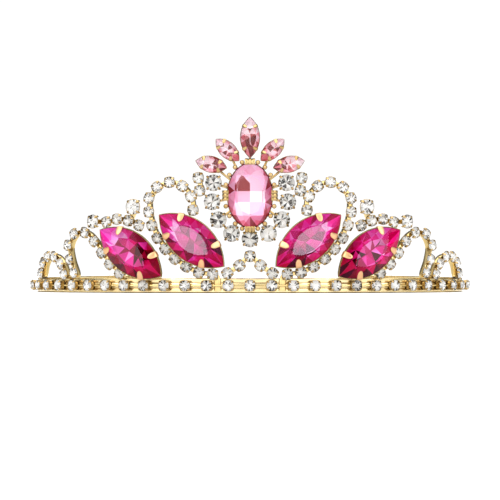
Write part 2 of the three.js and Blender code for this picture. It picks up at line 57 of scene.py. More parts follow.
# Band
HALF_WIDTH = 66.0
FRONT_DEPTH = 46.0
REAR_DEPTH = 68.0
ARM_SWEEP = math.radians(61.5)
STRIP_THICKNESS = 0.8
STRIP_HEIGHT = 4.3
STRIP_END_HEIGHT = 4.1
RIB_COUNT = 3
RIB_DEPTH = 0.22
RIB_POWER = 8
RIB_FADE = 12.0
EDGE_ROUND = 0.18
PADDLE_RADIUS = 3.1
PADDLE_RETURN = 2.4
PADDLE_TIP = 0.2
PADDLE_STEPS = (0.15, 0.3, 0.45, 0.6, 0.72, 0.82, 0.9, 0.96, 1.0)
CURL_RADIUS = 0.8
CURL_TURN = math.radians(180)
BAND_STEPS = {"front": 81, "arm": 61, "curl": 19}

# Gap between the band's outer face and the feet of the cups
CLEARANCE = 0.3

# Clear round stones: deep cups on a thin wire in the base row, shallow ones on a deep ribbon in the arches
CHAIN_STONE = 3.0
CUP_DEPTH = 0.5
CUP_CROWN = 0.2
BASE_COUNT = 29
BASE_PITCH = 6.2
BASE_HEIGHT = 2.15
BASE_CUP = {"foot": 0.0, "foot_radius": 1.36, "wall": 0.14, "drop": 0.0, "power": 3.0, "pavilion": 0.55,
            "prong": 0.5}
BASE_WIRE = {"width": 0.5, "back": 0.6, "front": 1.15}
ARCH_CUP = {"foot": 0.65, "foot_radius": 0.55, "wall": 0.2, "drop": 0.0, "power": 2.2, "pavilion": 0.7,
            "prong": 0.6}
RIBBON = {"width": 1.4, "back": -0.8, "front": 1.05}
RIBBON_SECTION = {"count": 16, "power": 5.0}
RIBBON_END_HEIGHT = 4.6
LOW_STONE = 7.0
STONE_SHARE = 1.04

# Round cups: a ring part of the way down the wall, the rim's shares and heights, and the prongs
CUP_SIDES = 32
CUP_MIDDLE = 0.45
CUP_RIM = ((1.0, -0.1), (0.985, 0.0), (0.95, 0.01), (0.93, -0.06))
CUP_FLOOR_SHARE = 0.2
ROUND_PRONG = {"reach": 0.8, "thickness": 0.09, "foot": 0.6, "shoulder": 0.05, "outwards": 0.4}

# Facets of the round stones, as shares of the girdle's radius
ROUND_TABLE = 0.56
ROUND_STAR = 0.78
ROUND_KEEL = 0.05

# The inner arches also have a plate that comes down over the front of the band, between two base stones
FOOT_PLATE = {"width": 2.0, "back": 0.2, "front": 0.62}
FOOT_PLATE_LINE = ((10.4, 5.2), (9.6, 4.4), (9.4, 3.2), (9.3, 0.7))

# Runs of clear stones on one side of the front: number of stones, size, and the curve they follow
SIDE_CHAINS = {
    "end_loop": [
        (6, CHAIN_STONE, [(72.4, 5.5), (70.6, 9.0), (66.0, 11.0), (61.6, 9.4), (59.2, 5.4)]),
    ],
    "outer_arch": [
        (9, CHAIN_STONE, [(55.0, 5.9), (56.6, 9.3), (57.6, 13.4), (55.4, 17.0), (51.4, 17.9),
                          (47.4, 15.3), (42.8, 9.4), (38.5, 5.7)]),
    ],
    "outer_crest": [
        (4, CHAIN_STONE, [(42.9, 20.7), (39.2, 21.5), (35.6, 21.0), (32.3, 19.6)]),
        (1, 3.7, [(47.4, 20.9)]),
        (1, 4.2, [(33.9, 25.0)]),
    ],
    "inner_arch": [
        (14, CHAIN_STONE, [(16.2, 23.9), (17.2, 28.7), (21.2, 31.8), (26.0, 31.2), (29.3, 27.2),
                           (28.9, 21.8), (26.6, 15.8), (21.1, 9.6), (14.4, 5.9), (10.6, 5.4)]),
        (2, CHAIN_STONE, [(14.3, 29.5), (14.7, 33.2)]),
    ],
}
CENTRE_PEAK = [
    (5, CHAIN_STONE, [(-6.4, 5.7), (-2.9, 8.0), (0.0, 10.6), (2.9, 8.0), (6.4, 5.7)]),
]

# Boat-shaped stones: arc, height, lean in degrees, length and width
MARQUISES = {
    "inner": (16.2, 15.1, 52.0, 23.8, 11.5),
    "outer": (33.9, 11.6, 55.5, 23.6, 11.7),
}
NAVETTES = {
    "top": (0.0, 44.7, 0.0, 11.7, 5.5),
    "upper": (6.3, 41.1, 47.0, 9.0, 4.5),
    "lower": (10.9, 37.0, 77.0, 9.2, 4.6),
}
MARQUISE_CUT = {"girdle": 4.1, "crown": 1.7, "pavilion": 2.6, "kites": 10, "table": 0.55, "star": 0.8,
                "wall": 0.22, "lip": 0.9, "prong": 1.8}
NAVETTE_CUT = {"girdle": 2.6, "crown": 1.0, "pavilion": 1.5, "kites": 8, "table": 0.5, "star": 0.8,
               "wall": 0.08, "lip": 0.6, "prong": 1.0}
BOAT_SIDE_STEPS = 24
BOAT_LOWER = 0.55
BOAT_KEEL = (0.03, 0.34)
BOAT_PRONG = {"place": 0.58, "reach": 1.15, "thickness": 0.27, "shoulder": 0.12}
BOAT_FOOT_SHARE = 0.6
BOAT_FLOOR_SHARE = 0.3

# Gaps from a boat-shaped or oval stone to the wall of its cup, and from its keel to the floor of the cup.
# Round cups have half of the second one.
SEAT_GAP = 0.06
KEEL_GAP = 0.1

# A marquise's table is a little domed and leans back. "Fade" is painted light and shade: how much paler a
# stone gets across it, towards its inner side, and along it, towards its upper end.
MARQUISE_DOME = 0.05
MARQUISE_TIP = math.tan(math.radians(3))
MARQUISE_PAINTED_LIGHT = {"inner": (0.12, 0.22), "outer": (0.2, 0.45)}
NAVETTE_PAINTED_LIGHT = (0, 0.6)

# Oval centre stone, its beaded bezel and the halo of larger clear stones
OVAL = {"height": 28.0, "half_width": 6.4, "half_height": 9.1, "girdle": 3.2, "crown": 2.0, "pavilion": 2.4,
        "kites": 10, "table": 0.62, "star": 0.82, "dome": 0.1}
# Painted light and shade on the oval stone: paler towards its top.
OVAL_PAINTED_LIGHT = (0, 0.3)
OVAL_WALL = 0.2
BEZEL_SIDES = 64
BEZEL_FOOT = ((0.78, 0.0), (0.82, 0.25))
BEZEL_LIP = ((0.99, -1.1), (1.0, -0.9), (1.0, -0.15))
BEZEL_ROUND = 0.15
BEZEL_FLOOR_SHARE = 0.8
BEAD_LINE = 0.88
BEAD_RADIUS = 0.7
BEADS_PER_QUADRANT = 4
TAB_RIDGE = 1.0
TAB_PROFILE = ((-1.4, -1.2), (-1.38, -0.5), (-1.15, 0.0), (-0.7, 0.25), (-0.2, 0.38), (0.25, 0.42))
TAB_THICKNESS = (0.3, 0.5, 0.6, 0.6, 0.5, 0.2)
TAB_SIDE_DROP = 0.12
SOLDER = {"end_share": 0.7, "out": 0.6, "width": 0.7, "thickness": 0.45}
HALO = {"count": 9, "pitch": 5.5, "half_width": 10.8, "half_height": 12.4, "size": 4.7, "girdle": 2.3}
HALO_CROWN = 0.8
HALO_CUP = {"foot": 0.0, "foot_radius": 1.7, "wall": 0.06, "drop": 0.25, "power": 2.0, "pavilion": 1.5,
            "prong": 0.6}

# Facets: the range that the shade of each kind is drawn from. The deepest colour is at 0 and the palest at 1,
# and what is drawn beyond them counts as 0 or 1.
FACET_SHADES = {
    "table": (1.0, 1.0),
    "star": (0.3, 1.0),
    "kite": (0.0, 1.0),
    "edge": (0.0, 1.0),
    "girdle": (0.3, 0.5),
    "lower": (0.0, 1.0),
    "main": (0.0, 1.0),
    "core": (0.05, 1.0),
    "keel": (0.6, 1.0),
}
CHAIN_SHADES = {**FACET_SHADES, "lower": (0.1, 1.0), "main": (0.1, 1.0), "core": (0.2, 1.0)}
HALO_SHADES = {**FACET_SHADES, "lower": (-0.05, 1.0), "main": (-0.1, 1.0), "core": (-0.15, 1.0)}
FUCHSIA_SHADES = {
    "inner": {
        **FACET_SHADES,
        "star": (0.5, 1.1),
        "kite": (0.2, 0.85),
        "edge": (0.0, 0.5),
        "lower": (0.0, 0.8),
        "main": (0.05, 1.0),
        "core": (0.0, 0.45),
        "keel": (0.15, 0.2),
    },
    "outer": {
        **FACET_SHADES,
        "star": (0.0, 1.0),
        "kite": (0.0, 0.75),
        "edge": (-0.05, 0.45),
        "lower": (-0.1, 0.75),
        "main": (-0.15, 0.85),
        "core": (-0.15, 0.8),
        "keel": (0.1, 0.2),
    },
}
BLUSH_SHADES = {
    **FACET_SHADES,
    "star": (0.4, 1.0),
    "kite": (0.2, 0.8),
    "edge": (0.0, 0.6),
    "lower": (0.1, 1.0),
    "main": (0.1, 1.0),
    "core": (-0.35, 0.95),
}
ROSE_SHADES = {
    **FACET_SHADES,
    "star": (0.4, 1.0),
    "kite": (0.15, 0.85),
    "edge": (-0.1, 0.65),
    "lower": (-0.1, 0.6),
    "main": (0.25, 0.95),
}

CHAIN_FACETS = {"kites": 12, "lower": 0.4, "ranges": CHAIN_SHADES}
HALO_FACETS = {"kites": 14, "lower": 0.55, "ranges": HALO_SHADES}

# Panes behind the oval stone's table: their edges as shares of the stone's half sizes, how much they rise
# away from the middle and, from the lowest row up, the shades of the left and the right one. The deepest
# pane is cut at shares of its left, top and right edge, and its corners have a shade of their own.
PANE_COLUMNS = (-0.55, 0.0, 0.55)
PANE_ROWS = (-0.58, -0.2, 0.14, 0.6)
PANE_RISE = 0.45
PANE_SHADES = ((0.78, 0.54), (0.42, 0.92), (0.0, 0.49))
CORNER_CUTS = (0.45, 0.45, 0.55)
CORNER_SHADE = 0.52

# The girdle's half height as a share of the crown's, and the angles above which edges stay sharp
GIRDLE_SHARE = 0.04
METAL_CREASE = math.radians(40)
STONE_CREASE = math.radians(8)

SIDES = {"left": -1, "right": 1}


# Meshes

class Shape:
    """Points and faces of one piece, gathered from many small bodies."""

    def __init__(self):
        self.points = []
        self.faces = []
        self.slots = []
        self.shades = []
        self.smooth = []
        self.count = 0

    def add(self, points, faces, matrix=None, slots=0, shades=0.5, smooth=True):
        points = np.asarray(points, float)
        if matrix is not None:
            points = points @ matrix[:3, :3].T + matrix[:3, 3]
        self.points.append(points)
        self.faces += [[i + self.count for i in face] for face in faces]
        self.slots += list(slots) if np.ndim(slots) else [slots] * len(faces)
        self.shades += list(shades) if np.ndim(shades) else [shades] * len(faces)
        self.smooth += list(smooth) if np.ndim(smooth) else [smooth] * len(faces)
        self.count += len(points)


def make_piece(name, shape, materials, node, crease=METAL_CREASE):
    mesh = bpy.data.meshes.new(name)
    mesh.from_pydata(np.concatenate(shape.points) * MM, [], shape.faces)
    mesh.polygons.foreach_set("material_index", shape.slots)
    mesh.polygons.foreach_set("use_smooth", shape.smooth)
    if len(set(shape.shades)) > 1:
        shade = mesh.attributes.new("shade", "FLOAT", "FACE")
        shade.data.foreach_set("value", shape.shades)
    for material in materials:
        mesh.materials.append(material)
    mesh.set_sharp_from_angle(angle=crease)
    mesh.update()
    piece = bpy.data.objects.new(name, mesh)
    bpy.context.scene.collection.objects.link(piece)
    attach(piece, "root")
    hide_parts(node)


def loft(rings):
    """A closed body through rings of like points; each end is one flat face."""
    rings = np.asarray(rings, float)
    rows, count = rings.shape[:2]
    faces = []
    for row in range(rows - 1):
        for i in range(count):
            a = row * count + i
            b = row * count + (i + 1) % count
            faces.append([a, b, b + count, a + count])
    faces.append(list(range(count))[::-1])
    faces.append([(rows - 1) * count + i for i in range(count)])
    return rings.reshape(-1, 3), faces


def stacked(outline, rows):
    """Rings of one flat outline, from rows of share and depth."""
    return [np.column_stack([outline * share, np.full(len(outline), depth)]) for share, depth in rows]


def round_outline(half_width, half_height, count, power=2.0):
    """An ellipse, or a rounded box where power is above 2."""
    angle = np.linspace(0, 2 * math.pi, count, endpoint=False)
    cos, sin = np.cos(angle), np.sin(angle)
    reach = (np.abs(cos) ** power + np.abs(sin) ** power) ** (-1 / power)
    return np.column_stack([half_width * reach * cos, half_height * reach * sin])


def boat_outline(length, width, steps):
    """Two equal arcs that meet in points at both ends of local y."""
    half_length, half_width = length / 2, width / 2
    radius = (half_length ** 2 + half_width ** 2) / (2 * half_width)
    angle = math.asin(half_length / radius) * (2 * np.arange(steps) / steps - 1)
    side = np.column_stack([radius * np.cos(angle) - (radius - half_width), radius * np.sin(angle)])
    return np.vstack([side, -side])


def sweep(path, across, widths, thicknesses, count=12, power=2.6):
    """A rounded bar along a path. "across" is the direction of its width at each point."""
    path = np.asarray(path, float)
    along = np.gradient(path, axis=0)
    along /= np.linalg.norm(along, axis=1)[:, None]
    across = np.broadcast_to(np.asarray(across, float), path.shape)
    across = across - along * np.sum(across * along, axis=1)[:, None]
    across /= np.linalg.norm(across, axis=1)[:, None]
    face = np.cross(along, across)
    section = round_outline(0.5, 0.5, count, power)
    widths = np.broadcast_to(widths, len(path))
    thicknesses = np.broadcast_to(thicknesses, len(path))
    rings = [
        point + np.outer(section[:, 0] * width, a) + np.outer(section[:, 1] * thickness, f)
        for point, a, f, width, thickness in zip(path, across, face, widths, thicknesses)
    ]
    return loft(rings)


def ball(radius, sides=16, rings=8):
    turn = np.linspace(-math.pi / 2, math.pi / 2, rings + 2)[1:-1]
    circle = round_outline(1, 1, sides)
    return loft(stacked(circle, [(radius * math.cos(t), radius * math.sin(t)) for t in turn]))


# Places on the band

CENTRE_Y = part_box("band")[0].y / MM + FRONT_DEPTH
FRONT_TURN = np.linspace(-math.pi / 2, 0, 4001)
FRONT_CURVE = np.column_stack([HALF_WIDTH * np.cos(FRONT_TURN), FRONT_DEPTH * np.sin(FRONT_TURN)])


def travel_along(path):
    """The length of a path up to each of its points."""
    return np.concatenate([[0], np.cumsum(np.linalg.norm(np.diff(path, axis=0), axis=1))])


FRONT_TRAVEL = travel_along(FRONT_CURVE)


def front_seat(arc):
    """Place and outward normal on the band's outer face, seen from above."""
    angle = np.interp(abs(arc), FRONT_TRAVEL, FRONT_TURN)
    side = -1 if arc < 0 else 1
    x, y = HALF_WIDTH * math.cos(angle), FRONT_DEPTH * math.sin(angle)
    normal = np.array([x / HALF_WIDTH ** 2, y / FRONT_DEPTH ** 2])
    normal /= np.linalg.norm(normal)
    return np.array([side * x, y + CENTRE_Y]), np.array([side * normal[0], normal[1]])


def seat(arc, height, out=0.0, turn=0.0):
    """Local x runs along the band, local y up and local z outwards, turned about local z."""
    place, normal = front_seat(arc)
    along = np.array([-normal[1], normal[0], 0])
    up = np.array([0, 0, 1])
    matrix = np.eye(4)
    matrix[:3, 0] = math.cos(turn) * along + math.sin(turn) * up
    matrix[:3, 1] = math.cos(turn) * up - math.sin(turn) * along
    matrix[:3, 2] = [*normal, 0]
    matrix[:3, 3] = [*(place + out * normal), height]
    return matrix


def point_at(arc, height, out):
    return seat(arc, height, out)[:3, 3]


def smooth_path(points, per_step=24):
    """A uniform Catmull-Rom curve through the points."""
    points = np.asarray(points, float)
    ends = np.vstack([points[:1], points, points[-1:]])
    path = []
    for p0, p1, p2, p3 in zip(ends, ends[1:], ends[2:], ends[3:]):
        for t in np.arange(per_step) / per_step:
            v0, v1 = (p2 - p0) / 2, (p3 - p1) / 2
            path.append((2 * p1 - 2 * p2 + v0 + v1) * t ** 3
                        + (-3 * p1 + 3 * p2 - 2 * v0 - v1) * t ** 2 + v0 * t + p1)
    path.append(points[-1])
    return np.array(path)


def spaced(path, count):
    """Points at even steps along a path."""
    travel = travel_along(path)
    stops = np.linspace(0, travel[-1], count)
    return np.column_stack([np.interp(stops, travel, path[:, i]) for i in range(path.shape[1])])


# Materials

def new_material(name):
    material = bpy.data.materials.new(name)
    material.use_nodes = True
    nodes = material.node_tree.nodes
    return material, nodes, material.node_tree.links, nodes["Principled BSDF"]


def ramp_through(nodes, links, source, stops):
    """Colours from rows of position and colour."""
    ramp = nodes.new("ShaderNodeValToRGB")
    elements = ramp.color_ramp.elements
    while len(elements) < len(stops):
        elements.new(1.0)
    for element, (position, colour) in zip(elements, stops):
        element.position = position
        element.color = (*colour, 1)
    links.new(source, ramp.inputs["Fac"])
    return ramp.outputs["Color"]


def object_noise(nodes, links, scale, detail=3.0):
    place = nodes.new("ShaderNodeTexCoord")
    noise = nodes.new("ShaderNodeTexNoise")
    noise.inputs["Scale"].default_value = scale
    noise.inputs["Detail"].default_value = detail
    links.new(place.outputs["Object"], noise.inputs["Vector"])
    return noise.outputs["Fac"]


# Plating: noise scales per metre, the fine waviness, and the painted shade that darkens the metal in the
# corners
PATCH_SCALE = 260
GRAIN_SCALE = 900
WAVE_SCALE = 1500
WAVE_STRENGTH = 0.06
WAVE_DEPTH = 0.05
PAINTED_SHADE_REACH = 0.5
PAINTED_SHADE_COLOUR = (0.2, 0.13, 0.04)
ROUGHNESS_SPREAD = 0.4


def gold_material(name, light, deep, roughness):
    """Polished plating: paler and deeper patches, fine waviness, and painted shade in the corners."""
    material, nodes, links, shader = new_material(name)
    shader.inputs["Metallic"].default_value = 1.0
    patches = ramp_through(nodes, links, object_noise(nodes, links, PATCH_SCALE), [(0.3, deep), (0.6, light)])
    # Painted shade: an occlusion mask mixes dark brown into the colour in corners and recesses.
    corner = nodes.new("ShaderNodeAmbientOcclusion")
    corner.inputs["Distance"].default_value = PAINTED_SHADE_REACH * MM
    corner.samples = 6
    painted_shade = nodes.new("ShaderNodeMix")
    painted_shade.data_type = "RGBA"
    painted_shade.inputs[6].default_value = (*PAINTED_SHADE_COLOUR, 1)
    links.new(corner.outputs["AO"], painted_shade.inputs[0])
    links.new(patches, painted_shade.inputs[7])
    links.new(painted_shade.outputs[2], shader.inputs["Base Color"])
    spread = nodes.new("ShaderNodeMapRange")
    spread.inputs["To Min"].default_value = roughness * (1 - ROUGHNESS_SPREAD)
    spread.inputs["To Max"].default_value = roughness * (1 + ROUGHNESS_SPREAD)
    links.new(object_noise(nodes, links, GRAIN_SCALE), spread.inputs["Value"])
    links.new(spread.outputs["Result"], shader.inputs["Roughness"])
    bump = nodes.new("ShaderNodeBump")
    bump.inputs["Strength"].default_value = WAVE_STRENGTH
    bump.inputs["Distance"].default_value = WAVE_DEPTH * MM
    links.new(object_noise(nodes, links, WAVE_SCALE), bump.inputs["Height"])
    links.new(bump.outputs["Normal"], shader.inputs["Normal"])
    return material


def shade_ramp(nodes, links, stops):
    shade = nodes.new("ShaderNodeAttribute")
    shade.attribute_name = "shade"
    return ramp_through(nodes, links, shade.outputs["Fac"], stops)


def clear_glass(name, sheen):
    """Cut glass. "sheen" tints what its surface mirrors."""
    material, nodes, links, shader = new_material(name)
    shader.inputs["Transmission Weight"].default_value = 1.0
    shader.inputs["IOR"].default_value = 1.5
    shader.inputs["Roughness"].default_value = 0.0
    shader.inputs["Specular Tint"].default_value = (*sheen, 1)
    return material, nodes, links, shader


def glass_material(name, stops, sheen):
    """Facets of the crown: deep ones have shades near 0 and clear ones near 1."""
    material, nodes, links, shader = clear_glass(name, sheen)
    links.new(shade_ramp(nodes, links, stops), shader.inputs["Base Color"])
    return material


def table_material(name, colour, painted_reflection=0.0):
    """The table: one clear colour, which mirrors the light as it is. The last argument paints a reflection
    over it as a pale veil.
    """
    material, nodes, links, shader = clear_glass(name, (1.0, 1.0, 1.0))
    # Painted reflection: part of the clear glass is turned into a pale diffuse veil.
    shader.inputs["Transmission Weight"].default_value = 1.0 - painted_reflection
    shader.inputs["Base Color"].default_value = (*colour, 1)
    return material


def foil_material(name, stops, metallic):
    """The foil behind a stone: part mirror and part coloured lacquer, different on every facet."""
    material, nodes, links, shader = new_material(name)
    shader.inputs["Metallic"].default_value = metallic
    shader.inputs["Roughness"].default_value = 0.12
    shader.inputs["Specular IOR Level"].default_value = 0.0
    links.new(shade_ramp(nodes, links, stops), shader.inputs["Base Color"])
    return material


# The golds are copies of one plating; strip_gold is the palest, painted light for the band that the front
# light falls full on.
strip_gold = gold_material("strip_gold", (0.86, 0.71, 0.4), (0.78, 0.6, 0.29), 0.16)
gold = gold_material("cup_gold", (0.5, 0.36, 0.17), (0.37, 0.24, 0.085), 0.14)
ribbon_gold = gold_material("ribbon_gold", (0.7, 0.54, 0.25), (0.6, 0.44, 0.17), 0.16)
# The marquises' prongs: the plating tinted peach, a painted reflection of the pink stones they hold.
reflection_tinted_gold = gold_material("prong_gold_reflection_tint", (0.74, 0.46, 0.25), (0.66, 0.37, 0.17), 0.33)
clear_cut = [
    glass_material("crystal_glass", [(0.0, (0.9, 0.92, 0.95)), (1.0, (1.0, 1.0, 1.0))], (1.0, 1.0, 1.0)),
    foil_material("crystal_foil", [
        (0.0, (0.012, 0.01, 0.01)),
        (0.2, (0.03, 0.026, 0.022)),
        (0.28, (0.29, 0.26, 0.22)),
        (0.36, (0.88, 0.86, 0.81)),
        (0.5, (1.0, 0.99, 0.965)),
    ], 0.2),
    table_material("crystal_table", (1.0, 1.0, 1.0)),
]
rose_cut = [
    glass_material("rose_glass", [
        (0.0, (0.9, 0.13, 0.2)),
        (0.3, (1.0, 0.4, 0.6)),
        (0.7, (1.0, 0.65, 0.88)),
        (1.0, (1.0, 0.85, 0.96)),
    ], (1.0, 0.8, 0.9)),
    foil_material("rose_foil", [
        (0.0, (0.3, 0.05, 0.05)),
        (0.16, (0.45, 0.1, 0.12)),
        (0.4, (0.92, 0.5, 0.66)),
        (0.65, (1.0, 0.84, 0.92)),
        (0.85, (1.0, 0.98, 1.0)),
    ], 0.25),
    table_material("rose_table", (1.0, 0.95, 0.98)),
]
blush_cut = [
    glass_material("blush_glass", [
        (0.0, (0.85, 0.26, 0.3)),
        (0.3, (0.96, 0.52, 0.62)),
        (0.7, (1.0, 0.78, 0.88)),
        (1.0, (1.0, 0.92, 0.97)),
    ], (1.0, 0.85, 0.9)),
    foil_material("blush_foil", [
        (0.0, (0.22, 0.04, 0.035)),
        (0.15, (0.5, 0.12, 0.11)),
        (0.35, (0.92, 0.42, 0.46)),
        (0.6, (1.0, 0.85, 0.9)),
        (1.0, (1.0, 0.97, 0.98)),
    ], 0.25),
    table_material("blush_table", (1.0, 0.93, 0.96)),
]
fuchsia_cut = [
    glass_material("fuchsia_glass", [
        (0.0, (0.55, 0.0, 0.04)),
        (0.3, (0.8, 0.005, 0.16)),
        (0.6, (0.92, 0.05, 0.5)),
        (0.85, (0.96, 0.36, 0.86)),
        (1.0, (1.0, 0.8, 0.97)),
    ], (0.5, 0.15, 0.35)),
    foil_material("fuchsia_foil", [
        (0.0, (0.08, 0.0, 0.012)),
        (0.14, (0.35, 0.0, 0.055)),
        (0.36, (0.85, 0.02, 0.38)),
        (0.6, (0.97, 0.28, 0.78)),
        (0.85, (1.0, 0.9, 1.0)),
    ], 0.3),
    table_material("fuchsia_table", (0.88, 0.52, 0.8)),
]
# The inner marquises' tables carry a painted reflection: a pale veil, as of a bright lamp mirrored in them.
reflection_veiled_cut = [*fuchsia_cut[:2], table_material("reflection_veiled_table", (0.72, 0.45, 0.65), 0.2)]
marquise_looks = {"inner": reflection_veiled_cut, "outer": fuchsia_cut}


# Cut stones

def flat_ring(outline, depth):
    return np.column_stack([outline, np.full(len(outline), depth)])


def crown_facets(line, cut, dome, tip):
    """The table, its star and kite facets, and the girdle.

    "line" is the girdle's outline, with two points for each kite. The table is a fan, raised in the middle
    by "dome" and along local x and y by "tip". The last ring is the girdle's lower edge.
    """
    girdle, crown, table, star = cut["girdle"], cut["crown"], cut["table"], cut["star"]
    half = GIRDLE_SHARE * crown
    count = len(line) // 2
    mains, halves = line[0::2], line[1::2]
    drop = (star * math.cos(math.pi / count) - table) / (1 - table)
    points = np.vstack([
        [[0, 0, girdle + crown + dome]],
        np.column_stack([mains * table, girdle + crown + mains * table @ tip]),
        flat_ring(halves * star, girdle + half + (crown - half) * (1 - drop)),
        flat_ring(line, girdle + half),
        flat_ring(line, girdle - half),
    ])
    t, s, g, b = 1, 1 + count, 1 + 2 * count, 1 + 4 * count
    faces, kinds = [], []
    for k in range(count):
        after, before = (k + 1) % count, (k - 1) % count
        near, middle, far = 2 * k, 2 * k + 1, (2 * k + 2) % (2 * count)
        faces += [
            [0, t + k, t + after],
            [t + k, s + k, t + after],
            [t + k, s + before, g + near, s + k],
            [s + k, g + near, g + middle],
            [s + k, g + middle, g + far],
            [b + near, b + middle, g + middle, g + near],
            [b + middle, b + far, g + far, g + middle],
        ]
        kinds += ["table", "star", "kite", "edge", "edge", "girdle", "girdle"]
    return points, faces, kinds


def brilliant_back(line, cut, rim, start, lower, keel):
    """Narrow facets under the girdle and long ones down to the keel, from shares of the girdle's outline."""
    depth, half = cut["pavilion"], GIRDLE_SHARE * cut["crown"]
    count = len(line) // 2
    mains, halves = line[0::2], line[1::2]
    drop = (depth - half) * (1 - lower * math.cos(math.pi / count))
    points = np.vstack([
        flat_ring(halves * lower, cut["girdle"] - half - drop),
        flat_ring(mains * keel, cut["girdle"] - depth),
    ])
    p, c = start, start + count
    faces, kinds = [[c + k for k in range(count)][::-1]], ["keel"]
    for k in range(count):
        after, before = (k + 1) % count, (k - 1) % count
        near, middle, far = 2 * k, 2 * k + 1, (2 * k + 2) % (2 * count)
        faces += [
            [p + k, rim + middle, rim + near],
            [p + k, rim + far, rim + middle],
            [p + before, p + k, rim + near],
            [c + k, p + k, p + before],
            [c + k, c + after, p + k],
        ]
        kinds += ["lower", "lower", "main", "core", "core"]
    return points, faces, kinds


def window_back(line, cut, rim, start):
    """Two columns of square panes behind the table, and long facets from them to ten places on the girdle.

    The kind of a pane is its shade. The deepest pane of the top row has its upper corners cut off.
    """
    wide, high = np.abs(line).max(axis=0)
    shares = np.array([(x, y) for y in PANE_ROWS for x in PANE_COLUMNS])
    sink = cut["pavilion"] * (1 - PANE_RISE * np.sum(shares ** 2, axis=1))
    points = np.column_stack([shares * (wide, high), cut["girdle"] - sink])
    outer = [i for i, (x, y) in enumerate(shares) if x or y in (PANE_ROWS[0], PANE_ROWS[-1])]
    outer.sort(key=lambda i: math.atan2(shares[i][1], shares[i][0]) % (2 * math.pi))
    faces, kinds = [], []
    for k, place in enumerate(outer):
        onward = outer[(k + 1) % len(outer)]
        near, middle, before = 2 * k, 2 * k + 1, (2 * k - 1) % len(line)
        faces += [
            [start + place, rim + near, rim + before],
            [start + place, rim + middle, rim + near],
            [start + place, start + onward, rim + middle],
        ]
        kinds += ["lower", "lower", "main"]
    count = len(PANE_COLUMNS)
    for row, pair in enumerate(PANE_SHADES):
        for column, shade in enumerate(pair):
            a = start + row * count + column
            faces.append([a, a + count, a + count + 1, a + 1])
            kinds.append(shade)
    deep = kinds.index(min(PANE_SHADES[-1]))
    low_left, high_left, high_right, low_right = faces.pop(deep)
    shade = kinds.pop(deep)
    left, top, right = (start + len(points) + i for i in range(3))
    edges = zip((low_left, high_left, low_right), (high_left, high_right, high_right), CORNER_CUTS)
    cuts = [points[a - start] * (1 - t) + points[b - start] * t for a, b, t in edges]
    points = np.vstack([points, cuts])
    faces += [
        [low_left, left, top, right, low_right],
        [left, high_left, top],
        [top, high_right, right],
    ]
    kinds += [shade, CORNER_SHADE, CORNER_SHADE]
    return points, faces, kinds


def add_stone(shape, matrix, line, cut, back, ranges, dome=0.0, tip=(0, 0), fade=(0, 0), **shares):
    """A faceted stone: glass in front, foil behind. "fade" paints light and shade, paler along local x and y.
    """
    points, faces, kinds = crown_facets(line, cut, dome, np.array(tip))
    slots = [2 if kind == "table" else 0 for kind in kinds]
    more, below, below_kinds = back(line, cut, len(points) - len(line), len(points), **shares)
    points = np.vstack([points, more])
    faces += below
    kinds += below_kinds
    slots += [1] * len(below)
    reach = np.abs(line).max(axis=0)
    shades = []
    for face, kind in zip(faces, kinds):
        place = points[face][:, :2].mean(axis=0) / reach
        # Painted light and shade: facets get paler along the fade's direction.
        shade = random.uniform(*ranges[kind]) + np.dot(fade, place) if kind in ranges else kind
        shades.append(min(max(shade, 0.0), 1.0))
    smooth = [kind == "table" and dome > 0 for kind in kinds]
    shape.add(points, faces, matrix, slots, shades, smooth)


def add_round_stone(shape, matrix, size, girdle, crown, pavilion, kites, lower, ranges):
    line = round_outline(size / 2, size / 2, 2 * kites)
    cut = {"girdle": girdle, "crown": crown, "pavilion": pavilion, "table": ROUND_TABLE, "star": ROUND_STAR}
    add_stone(shape, matrix, line, cut, brilliant_back, ranges, lower=lower, keel=ROUND_KEEL)


# Prongs: shares of the length of the tip, closer together where it narrows, and the least that is left of it
TIP_STEPS = np.array([0.2, 0.4, 0.6, 0.75, 0.87, 0.95, 1.0])
TIP_END = 0.15


def claw(width, thickness, foot, shoulder, reach, rise):
    """A tab that stands on a wall and folds in over a crown, with local x inwards and local z out."""
    wall = [(-thickness / 2, -foot), (-thickness / 2, -foot / 2), (-thickness / 2, shoulder * 0.4)]
    bend = [(-thickness * 0.2, shoulder + thickness * 0.15)]
    top = [(reach * t, shoulder + rise * t + thickness * 0.3) for t in TIP_STEPS]
    path = np.array([(x, 0, z) for x, z in wall + bend + top])
    taper = np.ones(len(path))
    taper[-len(TIP_STEPS):] = np.maximum(np.sqrt(1 - TIP_STEPS ** 3), TIP_END)
    return sweep(path, (0, 1, 0), width * taper, thickness * (0.4 + 0.6 * taper))


def turned_to(matrix, x, y, z, bearing):
    """The seat moved to a local place, with its local x along a bearing."""
    local = np.eye(4)
    local[:2, :2] = [[math.cos(bearing), -math.sin(bearing)], [math.sin(bearing), math.cos(bearing)]]
    local[:3, 3] = (x, y, z)
    return matrix @ local


# Round stones in four-prong cups

